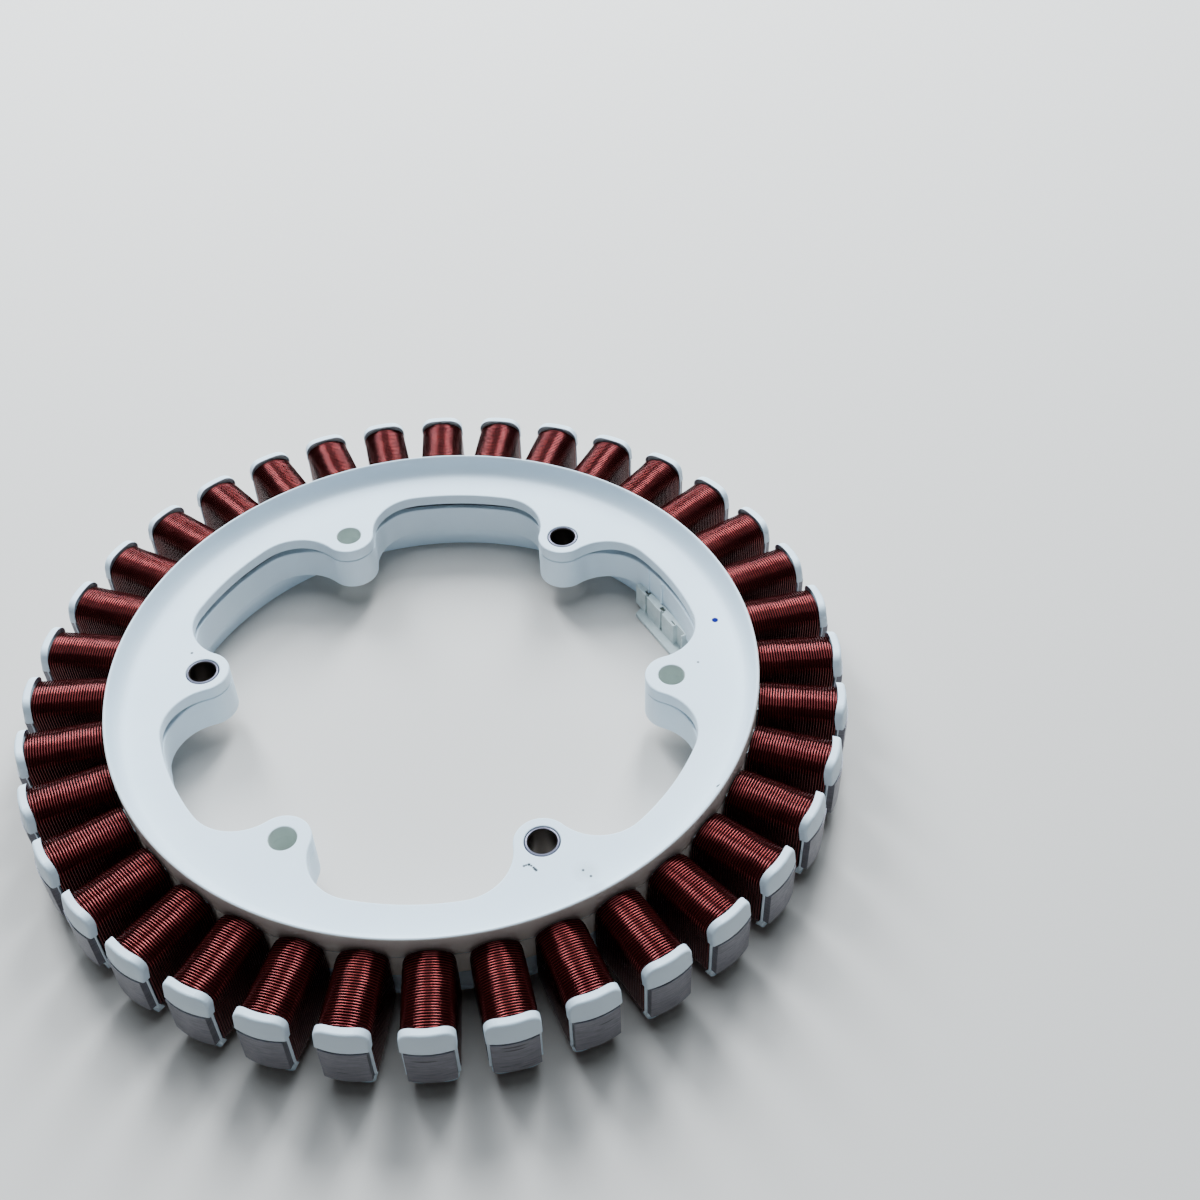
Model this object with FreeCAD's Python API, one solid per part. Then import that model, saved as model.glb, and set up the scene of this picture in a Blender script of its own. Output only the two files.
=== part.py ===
import FreeCAD, Part
import math
import os

# Wound stator of an outer-rotor drive: a laminated core with teeth that point outwards,
# an upper and a lower insulator clipped over it, one coil on each tooth, and six bosses
# inside the bore. The origin is on the axis, in the plane that the stator stands on.

# Driving dimensions, millimetres and degrees

TEETH = 36
BOSSES = 6
TOOTH_TURN = 5.0

STACK_BOTTOM = 7.6
STACK_HEIGHT = 14.0
YOKE_SEAT_GAP = 0.5
YOKE_OUTER_R = 103.5
TOOTH_WIDTH = 8.4
SHOE_WIDTH = 12.7
SHOE_DEPTH = 2.9
POLE_R = 132.5
POLE_FACE_R = 24.0
POLE_FLATS = 3

DECK_THICKNESS = 4.6
BORE_R = 88.0
BOLT_CIRCLE_R = 76.1
BOSS_R = 8.6
BOSS_FILLET = 16.0
BOSS_BOTTOM = 9.2
RIM_OVERHANG = 0.3
RIM_RISE = 6.3
RIM_TOP_WIDTH = 0.9
RIM_SLOPE_WIDTH = 4.7
RIM_HOLLOW_ALONG = 0.62
RIM_HOLLOW_UP = 0.22
RIM_LAP = 2.0

LINER_WALL = 0.75
CLEARANCE = 0.05
UPPER_SADDLE_RISE = 4.0
CAP_WIDTH = 15.3
CAP_RISE = 7.7
CAP_CORNER = 3.8
CAP_FLATS = 2
CAP_FRONT_R = 131.5
CAP_LEAN = 1.3
FLANGE_DEPTH = 0.55
FOOT_CAP_DROP = 5.6
FOOT_CAP_CORNER = 2.4
FOOT_FLATS = 1
FOOT_CAP_LEAN = 1.9

WALL_THICKNESS = 1.8
SLIT_HALF_ANGLE = 23.0
SLIT_HEIGHT = 1.7
SLIT_DEPTH_R = 66.0
FLOOR_THICKNESS = 1.8
FLOOR_OVERHANG = 0.7
JOIN = 1.0
SKIRT_SETBACK = 3.0
SKIRT_THICKNESS = 2.5

SCREW_HOLE_R = 4.25
BUSH_R = 5.3

COIL_WIDTH = 15.4
COIL_RIM_GAP = 0.5
COIL_END_GAP = 0.3
COIL_BUILD = 2.6
COIL_CORNER = 3.6
COIL_SEAT = 0.1

GUIDE_WIDTH = 7.0
GUIDE_THICKNESS = 1.5
GUIDE_SETBACK = 2.7
GUIDE_DROP = 3.2
WIRE_GUIDE_GAP = 0.6
WIRE_RING_WIDTH = 2.4
WIRE_THICKNESS = 0.8

HOUSING_ANGLE = 32.0
HOUSING_WIDTH = 30.0
HOUSING_STAND = 3.0
HOUSING_RISE = 4.6
LIP_REACH = 3.0
LIP_HEIGHT = 1.6
HOUSING_REACH = 5.0
GROOVE_WIDTH = 1.2
GROOVE_DEPTH = 0.8
GROOVE_PITCH = 9.8
GROOVE_SHIFT = -1.5
KEYWAY_WIDTH = 4.4
KEYWAY_DEPTH = 1.5
TERMINAL_SHIFT = 1.2
TERMINAL_WIDTH = 2.2
TERMINAL_THICKNESS = 0.5
TERMINAL_BOTTOM = 2.5
TERMINAL_RECESS = 0.9
SHAFT_WALL = 0.8
SHAFT_SIDE_GAP = 0.3

# Heights and radii that follow from them

STACK_TOP = STACK_BOTTOM + STACK_HEIGHT
DECK_TOP = STACK_TOP + DECK_THICKNESS
RIM_TOP = DECK_TOP + RIM_RISE
WALL_R = BORE_R + WALL_THICKNESS
YOKE_INNER_R = WALL_R + YOKE_SEAT_GAP
RIM_R = YOKE_OUTER_R + RIM_OVERHANG
RIM_SLOPE_R = RIM_R - RIM_TOP_WIDTH - RIM_SLOPE_WIDTH
FLOOR_R = YOKE_OUTER_R + FLOOR_OVERHANG
SKIRT_INNER_R = BORE_R + SKIRT_SETBACK
SHOE_BACK_R = POLE_R - SHOE_DEPTH
FLANGE_R = SHOE_BACK_R - CLEARANCE - FLANGE_DEPTH
POLE_CENTRE_R = POLE_R - POLE_FACE_R
SADDLE_WIDTH = TOOTH_WIDTH + 2 * (CLEARANCE + LINER_WALL)
FLOOR_BOTTOM = STACK_BOTTOM - FLOOR_THICKNESS
COIL_INNER_R = RIM_R + COIL_RIM_GAP
GUIDE_OUTER_R = FLOOR_R - GUIDE_SETBACK
WIRE_RING_R = GUIDE_OUTER_R - GUIDE_THICKNESS - WIRE_GUIDE_GAP
HOUSING_TOP = FLOOR_BOTTOM + HOUSING_RISE
HOUSING_FRONT = BORE_R - HOUSING_STAND
HOUSING_BACK = BORE_R + HOUSING_REACH
SHAFT_FRONT = HOUSING_FRONT + SHAFT_WALL
PITCH = 360.0 / TEETH
BOSS_PITCH = 360.0 / BOSSES

AXIS = FreeCAD.Vector(0, 0, 1)
ORIGIN = FreeCAD.Vector(0, 0, 0)


def at(radius, angle, z=0.0):
    """The point at a radius and an angle round the axis."""
    turn = math.radians(angle)
    return FreeCAD.Vector(radius * math.cos(turn), radius * math.sin(turn), z)


def turned(shape, angle):
    """A copy of the shape, turned round the axis."""
    copy = shape.copy()
    copy.rotate(ORIGIN, AXIS, angle)
    return copy


def tooth_angles():
    return [TOOTH_TURN + PITCH * index for index in range(TEETH)]


def disc(radius, bottom, top):
    """A plain disc about the axis."""
    return Part.makeCylinder(radius, top - bottom, FreeCAD.Vector(0, 0, bottom))


def ring(inner, outer, bottom, top):
    """A plain ring about the axis."""
    return disc(outer, bottom, top).cut(disc(inner, bottom, top))


def block(x0, x1, y0, y1, z0, z1):
    """A box between two corners."""
    return Part.makeBox(x1 - x0, y1 - y0, z1 - z0, FreeCAD.Vector(x0, y0, z0))


def outline_x(points, x0, x1):
    """A prism along X: the outline is given as (y, z) and closed by itself."""
    corners = [FreeCAD.Vector(x0, y, z) for y, z in points]
    face = Part.Face(Part.makePolygon(corners + corners[:1]))
    return face.extrude(FreeCAD.Vector(x1 - x0, 0, 0))


def outline_y(points, y0, y1):
    """A prism along Y: the outline is given as (x, z) and closed by itself."""
    corners = [FreeCAD.Vector(x, y0, z) for x, z in points]
    face = Part.Face(Part.makePolygon(corners + corners[:1]))
    return face.extrude(FreeCAD.Vector(0, y1 - y0, 0))


def outline_z(points, z0, z1):
    """A prism along Z: the outline is given as (x, y) and closed by itself."""
    corners = [FreeCAD.Vector(x, y, z0) for x, y in points]
    face = Part.Face(Part.makePolygon(corners + corners[:1]))
    return face.extrude(FreeCAD.Vector(0, 0, z1 - z0))


def circle(radius, centre):
    return Part.Wire(Part.makeCircle(radius, centre, AXIS))


def lobed_wire():
    """The bore's outline: a circle with a rounded lobe for each boss, all arcs tangent."""
    fillet_r = BORE_R - BOSS_FILLET
    reach = BOSS_R + BOSS_FILLET
    spread = (fillet_r ** 2 + BOLT_CIRCLE_R ** 2 - reach ** 2) / (2 * fillet_r * BOLT_CIRCLE_R)
    half = math.degrees(math.acos(spread))
    edges = []
    for index in range(BOSSES):
        middle = BOSS_PITCH * index
        centre = at(BOLT_CIRCLE_R, middle)
        sides = []
        for side in (-1, 1):
            hub = at(fillet_r, middle + side * half)
            inward = (centre - hub).normalize()
            outward = at(1, middle + side * half)
            on_bore = at(BORE_R, middle + side * half)
            on_boss = hub + inward * BOSS_FILLET
            bend = hub + (inward + outward).normalize() * BOSS_FILLET
            sides.append((on_bore, bend, on_boss))
        low, high = sides
        tip = at(BOLT_CIRCLE_R - BOSS_R, middle)
        edges.append(Part.Arc(low[0], low[1], low[2]).toShape())
        edges.append(Part.Arc(low[2], tip, high[2]).toShape())
        edges.append(Part.Arc(high[2], high[1], high[0]).toShape())
        next_start = at(BORE_R, middle + BOSS_PITCH - half)
        edges.append(Part.Arc(high[0], at(BORE_R, middle + BOSS_PITCH / 2), next_start).toShape())
    return Part.Wire(edges)


def boss_holes():
    """Bush holes and plain locating holes take turns round the bolt circle."""
    holes = []
    for index in range(BOSSES):
        radius = SCREW_HOLE_R if index % 2 == 0 else BUSH_R + CLEARANCE
        holes.append(circle(radius, at(BOLT_CIRCLE_R, BOSS_PITCH * index)))
    return holes


def lobed_plate(outer, bottom, top):
    """A plate with the lobed bore and the six holes."""
    wires = [circle(outer, ORIGIN), lobed_wire()] + boss_holes()
    face = Part.makeFace(wires, "Part::FaceMakerBullseye")
    face.translate(FreeCAD.Vector(0, 0, bottom))
    return face.extrude(FreeCAD.Vector(0, 0, top - bottom))


def slits(bottom, top):
    """Between two bosses the insulators stay apart, and the core shows in the gap."""
    place = FreeCAD.Vector(0, 0, bottom)
    height = top - bottom
    sweep = 2 * SLIT_HALF_ANGLE
    outer = Part.makeCylinder(YOKE_INNER_R, height, place, AXIS, sweep)
    sector = outer.cut(Part.makeCylinder(SLIT_DEPTH_R, height, place))
    start = BOSS_PITCH / 2 - SLIT_HALF_ANGLE
    return [turned(sector, start + BOSS_PITCH * index) for index in range(BOSSES)]


def core_tooth():
    """One tooth with its wider shoe and crowned pole face, lying along X."""
    half_tooth = TOOTH_WIDTH / 2
    half_shoe = SHOE_WIDTH / 2
    root = YOKE_OUTER_R - JOIN
    swing = math.asin(half_shoe / POLE_FACE_R)
    turns = [swing * (2.0 * step / POLE_FLATS - 1.0) for step in range(POLE_FLATS + 1)]
    face = [(POLE_CENTRE_R + POLE_FACE_R * math.cos(turn), POLE_FACE_R * math.sin(turn))
            for turn in turns]
    back = [(SHOE_BACK_R, half_shoe), (SHOE_BACK_R, half_tooth), (root, half_tooth),
            (root, -half_tooth), (SHOE_BACK_R, -half_tooth), (SHOE_BACK_R, -half_shoe)]
    return outline_z(face + back, STACK_BOTTOM, STACK_TOP)


def toothed_disc(radius, bottom, top):
    """A disc about the axis whose edge runs straight from tooth to tooth."""
    corners = [at(radius, angle) for angle in tooth_angles()]
    return outline_z([(corner.x, corner.y) for corner in corners], bottom, top)


def core():
    """The stack of laminations: one yoke with all its teeth."""
    yoke = toothed_disc(YOKE_OUTER_R, STACK_BOTTOM, STACK_TOP)
    yoke = yoke.cut(toothed_disc(YOKE_INNER_R, STACK_BOTTOM, STACK_TOP))
    tooth = core_tooth()
    return yoke.multiFuse([turned(tooth, angle) for angle in tooth_angles()]).removeSplitter()


def rounded_plate(base, crown, corner, flats, x0, x1):
    """A plate across the tooth: square at its base, its two far corners in short flats."""
    half = CAP_WIDTH / 2
    up = 1 if crown > base else -1
    turns = [math.radians(90.0 * step / flats) for step in range(flats + 1)]
    side = [(half - corner + corner * math.cos(turn), crown - up * corner * (1 - math.sin(turn)))
            for turn in turns]
    mirrored = [(-y, z) for y, z in reversed(side)]
    return outline_x([(half, base)] + side + mirrored + [(-half, base)], x0, x1)


def upper_tooth():
    """The upper lining of one tooth: a saddle on top, and the cap that leans back."""
    half = SADDLE_WIDTH / 2
    crown = STACK_TOP + CAP_RISE
    saddle = block(RIM_R - JOIN, FLANGE_R + FLANGE_DEPTH, -half, half, STACK_TOP,
                   STACK_TOP + UPPER_SADDLE_RISE)
    plate = rounded_plate(STACK_TOP, crown, CAP_CORNER, CAP_FLATS, FLANGE_R, POLE_R)
    front = [(FLANGE_R, STACK_TOP), (CAP_FRONT_R, STACK_TOP), (CAP_FRONT_R - CAP_LEAN, crown),
             (FLANGE_R, crown)]
    cap = plate.common(outline_y(front, -CAP_WIDTH, CAP_WIDTH))
    return saddle.fuse(cap)


def rim():
    """The raised rim: a straight outer wall and a hollow inner slope."""
    inner = RIM_SLOPE_R - RIM_LAP
    hollow_r = RIM_SLOPE_R + RIM_SLOPE_WIDTH * RIM_HOLLOW_ALONG
    outline = [(inner, STACK_TOP), (RIM_R, STACK_TOP), (RIM_R, RIM_TOP),
               (RIM_R - RIM_TOP_WIDTH, RIM_TOP), (hollow_r, DECK_TOP + RIM_RISE * RIM_HOLLOW_UP),
               (RIM_SLOPE_R, DECK_TOP), (inner, DECK_TOP)]
    corners = [FreeCAD.Vector(r, 0, z) for r, z in outline]
    face = Part.Face(Part.makePolygon(corners + corners[:1]))
    return face.revolve(ORIGIN, AXIS, 360)


def upper_insulator():
    """The moulding on top: lobed deck, raised rim, and a cap and saddle for each tooth."""
    tooth = upper_tooth()
    teeth = [turned(tooth, angle) for angle in tooth_angles()]
    deck = lobed_plate(RIM_SLOPE_R, STACK_TOP, DECK_TOP)
    return rim().multiFuse([deck] + teeth).removeSplitter()


def lower_tooth():
    """The lower lining of one tooth: a channel up its sides, a flange and the foot cap."""
    liner = SADDLE_WIDTH / 2
    half = CAP_WIDTH / 2
    half_tooth = TOOTH_WIDTH / 2 + CLEARANCE
    half_shoe = SHOE_WIDTH / 2 + CLEARANCE
    top = STACK_TOP - CLEARANCE
    crown = STACK_BOTTOM - FOOT_CAP_DROP
    channel = block(YOKE_OUTER_R + CLEARANCE, FLANGE_R + FLANGE_DEPTH, -liner, liner,
                    FLOOR_BOTTOM, top)
    plate = rounded_plate(top, crown, FOOT_CAP_CORNER, FOOT_FLATS, FLANGE_R, POLE_R)
    front = [(FLANGE_R, top), (CAP_FRONT_R, top), (CAP_FRONT_R, STACK_BOTTOM),
             (CAP_FRONT_R - FOOT_CAP_LEAN, crown), (FLANGE_R, crown)]
    cap = plate.common(outline_y(front, -half, half))
    shoe_room = block(SHOE_BACK_R - CLEARANCE, POLE_R, -half_shoe, half_shoe, STACK_BOTTOM,
                      STACK_TOP)
    tooth_room = block(YOKE_OUTER_R, POLE_R, -half_tooth, half_tooth, STACK_BOTTOM,
                       STACK_TOP)
    return channel.fuse(cap).cut(shoe_room).cut(tooth_room).removeSplitter()


def guide():
    """A tab under the floor that the phase wires are laid behind."""
    return block(GUIDE_OUTER_R - GUIDE_THICKNESS, GUIDE_OUTER_R, -GUIDE_WIDTH / 2,
                 GUIDE_WIDTH / 2, FLOOR_BOTTOM - GUIDE_DROP, FLOOR_BOTTOM + JOIN)


def guide_angles():
    """Every second tooth has a guide behind it."""
    return tooth_angles()[::2]


def housing_sector(bottom, top):
    """The stretch of the skirt that makes room for the terminal housing."""
    half = HOUSING_WIDTH / 2 + CLEARANCE
    room = block(HOUSING_FRONT, HOUSING_BACK + SKIRT_THICKNESS, -half, half, bottom, top)
    return turned(room, HOUSING_ANGLE)


def lower_insulator():
    """The moulding below: bore wall with bosses, floor, skirt, tooth channels and guides."""
    bosses = lobed_plate(WALL_R, BOSS_BOTTOM, STACK_TOP)
    bosses = bosses.cut(Part.makeCompound(slits(STACK_TOP - SLIT_HEIGHT, DECK_TOP)))
    wall = ring(BORE_R, WALL_R, FLOOR_BOTTOM, BOSS_BOTTOM + JOIN)
    floor = toothed_disc(FLOOR_R, FLOOR_BOTTOM, STACK_BOTTOM)
    floor = floor.cut(disc(WALL_R - JOIN, FLOOR_BOTTOM, STACK_BOTTOM))
    skirt = ring(SKIRT_INNER_R, SKIRT_INNER_R + SKIRT_THICKNESS, 0.0, FLOOR_BOTTOM + JOIN)
    skirt = skirt.cut(housing_sector(0.0, FLOOR_BOTTOM))
    tooth = lower_tooth()
    tab = guide()
    pieces = [wall, floor, skirt]
    pieces += [turned(tooth, angle) for angle in tooth_angles()]
    pieces += [turned(tab, angle) for angle in guide_angles()]
    return bosses.multiFuse(pieces).removeSplitter()


def coil():
    """One coil, wound to an even build round the lined tooth."""
    inner_half = SADDLE_WIDTH / 2 + COIL_SEAT
    inner_top = STACK_TOP + UPPER_SADDLE_RISE + COIL_SEAT
    inner_bottom = FLOOR_BOTTOM - COIL_SEAT
    outer_half = COIL_WIDTH / 2
    outer_top = inner_top + COIL_BUILD
    outer_bottom = inner_bottom - COIL_BUILD
    cut = COIL_CORNER
    outside = [(outer_half, outer_bottom + cut), (outer_half, outer_top - cut),
               (outer_half - cut, outer_top), (cut - outer_half, outer_top),
               (-outer_half, outer_top - cut), (-outer_half, outer_bottom + cut),
               (cut - outer_half, outer_bottom), (outer_half - cut, outer_bottom)]
    end = FLANGE_R - COIL_END_GAP
    body = outline_x(outside, COIL_INNER_R, end)
    room = block(COIL_INNER_R, end, -inner_half, inner_half, inner_bottom, inner_top)
    return body.cut(room)


def bush(index):
    """A steel bush pressed through both insulators at one boss."""
    height = DECK_TOP - BOSS_BOTTOM
    centre = at(BOLT_CIRCLE_R, BOSS_PITCH * index, BOSS_BOTTOM)
    return Part.makeCylinder(BUSH_R, height, centre).cut(
        Part.makeCylinder(SCREW_HOLE_R, height, centre))


def groove_places():
    """Where the two grooves and the keyway lie across the housing's front."""
    return [GROOVE_SHIFT + GROOVE_PITCH * step for step in (1, 0, -1)]


def terminal_places():
    """Each terminal stands beside a groove, or beside the keyway's edge."""
    return [place + TERMINAL_SHIFT + reach for place, reach in
            zip(groove_places(), (0.0, 0.0, KEYWAY_WIDTH / 2))]


def terminal_housing():
    """The moulded block under the bore wall: a lip, a grooved front wall and a keyway."""
    half = HOUSING_WIDTH / 2
    lip_front = HOUSING_FRONT - LIP_REACH
    under = FLOOR_BOTTOM - CLEARANCE
    outline = [(lip_front, 0.0), (HOUSING_BACK, 0.0), (HOUSING_BACK, under),
               (HOUSING_FRONT + LIP_REACH, under), (HOUSING_FRONT + LIP_REACH, HOUSING_TOP),
               (HOUSING_FRONT, HOUSING_TOP), (HOUSING_FRONT, LIP_HEIGHT), (lip_front, LIP_HEIGHT)]
    body = turned(outline_y(outline, -half, half), HOUSING_ANGLE)
    widths = (GROOVE_WIDTH, GROOVE_WIDTH, KEYWAY_WIDTH)
    depths = (GROOVE_DEPTH, GROOVE_DEPTH, KEYWAY_DEPTH)
    cuts = [ring(BORE_R - CLEARANCE, HOUSING_BACK + LIP_REACH, under, HOUSING_TOP)]
    for place, width, depth in zip(groove_places(), widths, depths):
        groove = block(HOUSING_FRONT, HOUSING_FRONT + depth, place - width / 2,
                       place + width / 2, LIP_HEIGHT, HOUSING_TOP)
        cuts.append(turned(groove, HOUSING_ANGLE))
    for place in terminal_places():
        side = TERMINAL_WIDTH / 2 + SHAFT_SIDE_GAP
        shaft = block(SHAFT_FRONT, SHAFT_FRONT + TERMINAL_THICKNESS, place - side, place + side,
                      TERMINAL_BOTTOM, HOUSING_TOP)
        cuts.append(turned(shaft, HOUSING_ANGLE))
    return body.cut(Part.makeCompound(cuts))


def terminal(place):
    """A flat brass tab that stands in its shaft, a little below the housing's top."""
    half = TERMINAL_WIDTH / 2
    tab = block(SHAFT_FRONT, SHAFT_FRONT + TERMINAL_THICKNESS, place - half, place + half,
                TERMINAL_BOTTOM, HOUSING_TOP - TERMINAL_RECESS)
    return turned(tab, HOUSING_ANGLE)


def crossover_wires():
    """The three phase wires side by side under the floor: straight runs from guide to guide."""
    outer = outline_z([wire_corner(WIRE_RING_R, angle) for angle in guide_angles()],
                      FLOOR_BOTTOM - WIRE_THICKNESS, FLOOR_BOTTOM)
    inner = outline_z([wire_corner(WIRE_RING_R - WIRE_RING_WIDTH, angle)
                       for angle in guide_angles()], 0.0, STACK_TOP)
    return outer.cut(inner)


def wire_corner(radius, angle):
    """Where the wires bend behind a guide."""
    point = at(radius, angle)
    return point.x, point.y


def build():
    """Every piece by its name."""
    pieces = {
        "core_laminations": core(),
        "upper_insulator": upper_insulator(),
        "lower_insulator": lower_insulator(),
        "terminal_housing": terminal_housing(),
        "crossover_wires": crossover_wires(),
    }
    winding = coil()
    for index, angle in enumerate(tooth_angles()):
        pieces["coil_%02d" % (index + 1)] = turned(winding, angle)
    pieces["mounting_bushes"] = Part.makeCompound([bush(index) for index in range(1, BOSSES, 2)])
    for name, place in zip("uvw", terminal_places()):
        pieces["terminal_" + name] = terminal(place)
    return pieces


os.makedirs("parts", exist_ok=True)
for node, shape in build().items():
    if not shape.isValid():
        raise ValueError(node)
    whole = shape.Solids[0] if len(shape.Solids) == 1 else shape
    whole.exportStep("parts/%s.step" % node)
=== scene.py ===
import math

import bmesh
import bpy
from mathutils import Matrix, Vector, noise


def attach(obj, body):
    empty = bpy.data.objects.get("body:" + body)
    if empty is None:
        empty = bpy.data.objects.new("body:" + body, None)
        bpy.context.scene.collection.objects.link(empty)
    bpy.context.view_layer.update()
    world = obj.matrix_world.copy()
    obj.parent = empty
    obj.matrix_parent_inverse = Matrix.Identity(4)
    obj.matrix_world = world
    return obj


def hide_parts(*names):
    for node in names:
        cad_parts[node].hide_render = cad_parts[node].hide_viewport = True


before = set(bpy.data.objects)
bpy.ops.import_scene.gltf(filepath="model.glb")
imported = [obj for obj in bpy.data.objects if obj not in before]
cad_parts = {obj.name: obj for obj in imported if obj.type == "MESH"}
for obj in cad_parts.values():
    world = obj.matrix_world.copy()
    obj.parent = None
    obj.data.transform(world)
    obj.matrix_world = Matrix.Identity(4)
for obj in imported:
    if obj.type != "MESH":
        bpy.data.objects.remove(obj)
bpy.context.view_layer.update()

# The core: thin stamped steel sheets, stacked and locked together, with short pressed dashes on
# the pole faces. One yoke carries all the teeth, and each tooth ends in a wide crowned shoe.
# The outline is drawn tooth by tooth as lines and arcs, filled and drawn up to its height.
MM = 0.001
ORIGIN = (0, 0, 0)
AXIS_X = (1, 0, 0)
AXIS_Z = (0, 0, 1)
TEETH = 36
PITCH = 10.0
TOOTH_TURN = 5.0
STACK_BOTTOM = 7.6
STACK_TOP = 21.6
YOKE_INNER_R = 90.3
YOKE_OUTER_R = 103.5
TOOTH_WIDTH = 8.4
SHOE_WIDTH = 13.4
SHOE_BACK_R = 129.6
POLE_R = 132.5
POLE_FACE_R = 24.0
SHEET = 0.5
RING_STEPS = 216
STEEL = (0.135, 0.130, 0.152)
STEEL_LIGHT = (0.200, 0.194, 0.222)
DASH_STRETCH = 10
DASH_COLOR = (0.02, 0.02, 0.026)
DASH_FADE = 0.12
DASH_STRENGTH = 0.75
# Each dash: where its middle lies, and how far it reaches to either side.
DASHES = ((33.7, -127.7, 20.2, 3.0), (33.7, -127.7, 18.6, 2.6), (30.8, -128.4, 10.6, 0.9),
          (36.0, -127.0, 9.0, 1.0), (34.0, -127.5, 10.9, 0.8), (10.4, -131.6, 18.9, 3.0),
          (-12.5, -131.4, 12.0, 1.2), (58.0, -118.6, 17.8, 1.6))


def turned(degrees):
    """A turn round the axis of the part."""
    return Matrix.Rotation(math.radians(degrees), 3, "Z")


def verts_of(geom):
    """The vertices in a list of mixed geometry."""
    return [item for item in geom if isinstance(item, bmesh.types.BMVert)]


def draw_line(bm, vert, point):
    """Draws a straight edge on from a vertex and gives the vertex it ends on."""
    end = bmesh.ops.extrude_vert_indiv(bm, verts=[vert])["verts"][0]
    end.co = point
    return end


def spin_arc(bm, vert, centre, axis, degrees, steps):
    """Draws an arc on from a vertex and gives the vertex it ends on."""
    turn = bmesh.ops.spin(bm, geom=[vert], cent=centre, axis=axis, angle=math.radians(degrees),
                          steps=steps, use_duplicate=False, use_merge=False)
    return turn["geom_last"][0]


def ring_loop(bm, radius, height, centre=(0, 0), segments=RING_STEPS):
    """A closed circle of edges at a height."""
    place = Matrix.Translation((centre[0], centre[1], height))
    made = bmesh.ops.create_circle(bm, cap_ends=False, segments=segments, radius=radius,
                                   matrix=place)
    return list({edge for vert in made["verts"] for edge in vert.link_edges})


def set_round(bm, geom, count, pitch=PITCH):
    """Turns a shape that lies along X to the first tooth, and repeats it round the axis."""
    bmesh.ops.rotate(bm, cent=ORIGIN, matrix=turned(TOOTH_TURN), verts=verts_of(geom))
    bmesh.ops.spin(bm, geom=geom, cent=ORIGIN, axis=AXIS_Z, use_duplicate=True,
                   angle=math.radians(pitch * (count - 1)), steps=count - 1, use_merge=False)


def fill_flat(bm, edges, facing):
    """Fills a flat outline round its holes; it faces up (1) or down (-1)."""
    bmesh.ops.triangle_fill(bm, use_beauty=True, use_dissolve=False, edges=edges,
                            normal=(0, 0, facing))


def draw_out(bm, faces, move):
    """Draws faces out into a solid."""
    raised = bmesh.ops.extrude_face_region(bm, geom=faces)["geom"]
    bmesh.ops.translate(bm, vec=move, verts=verts_of(raised))


def finish_piece(name, bm, material, nodes, crease=38.0):
    """Closes a piece: normals out, sharp edges marked, scaled to metres and put on the frame."""
    bmesh.ops.recalc_face_normals(bm, faces=bm.faces)
    limit = math.radians(crease)
    for edge in bm.edges:
        edge.smooth = not (len(edge.link_faces) == 2 and edge.calc_face_angle(0.0) > limit)
    for face in bm.faces:
        face.smooth = abs(face.normal.z) < 0.99999 or face.calc_area() < 0.3
    bmesh.ops.scale(bm, vec=(MM, MM, MM), verts=bm.verts)
    mesh = bpy.data.meshes.new(name)
    bm.to_mesh(mesh)
    bm.free()
    mesh.materials.append(material)
    piece = bpy.data.objects.new(name, mesh)
    bpy.context.collection.objects.link(piece)
    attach(piece, "root")
    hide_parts(*nodes)


def new_material(name, color, roughness):
    """A material with its main shader, and a coordinate socket in millimetres."""
    material = bpy.data.materials.new(name)
    material.use_nodes = True
    tree = material.node_tree
    shader = tree.nodes["Principled BSDF"]
    shader.inputs["Base Color"].default_value = (*color, 1)
    shader.inputs["Roughness"].default_value = roughness
    coordinates = tree.nodes.new("ShaderNodeTexCoord")
    return material, tree, shader, stretched(tree, coordinates.outputs["Object"], (1 / MM,) * 3)


def stretched(tree, vector, scales):
    """Coordinates scaled along each axis, for sheets, brush lines and what ignores height."""
    node = tree.nodes.new("ShaderNodeMapping")
    node.inputs["Scale"].default_value = scales
    tree.links.new(vector, node.inputs["Vector"])
    return node.outputs["Vector"]


def add_noise(tree, vector, scale, detail=3.0, roughness=0.55):
    """A noise texture on the millimetre coordinates."""
    texture = tree.nodes.new("ShaderNodeTexNoise")
    texture.inputs["Scale"].default_value = scale
    texture.inputs["Detail"].default_value = detail
    texture.inputs["Roughness"].default_value = roughness
    tree.links.new(vector, texture.inputs["Vector"])
    return texture.outputs["Fac"]


def add_ramp(tree, factor, stops):
    """A colour ramp between two stops, each given as place and colour."""
    ramp = tree.nodes.new("ShaderNodeValToRGB")
    for index, (place, color) in enumerate(stops):
        ramp.color_ramp.elements[index].position = place
        ramp.color_ramp.elements[index].color = (*color, 1)
    tree.links.new(factor, ramp.inputs["Fac"])
    return ramp.outputs["Color"]


def rough_ramp(tree, factor, low, high):
    """A roughness that goes from low to high with a noise."""
    return add_ramp(tree, factor, [(0.3, (low,) * 3), (0.7, (high,) * 3)])


def add_math(tree, operation, first, second):
    """A math node; either input may be a number or a socket."""
    node = tree.nodes.new("ShaderNodeMath")
    node.operation = operation
    for socket, value in zip(node.inputs, (first, second)):
        if isinstance(value, bpy.types.NodeSocket):
            tree.links.new(value, socket)
        else:
            socket.default_value = value
    return node.outputs["Value"]


def add_mix(tree, factor, first, second):
    """A colour mix; either colour may be a value or a socket."""
    node = tree.nodes.new("ShaderNodeMix")
    node.data_type = "RGBA"
    tree.links.new(factor, node.inputs["Factor"])
    for key, value in (("A", first), ("B", second)):
        socket = [item for item in node.inputs if item.name == key and item.type == "RGBA"][0]
        if isinstance(value, bpy.types.NodeSocket):
            tree.links.new(value, socket)
        else:
            socket.default_value = (*value, 1)
    return [item for item in node.outputs if item.type == "RGBA"][0]


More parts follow.
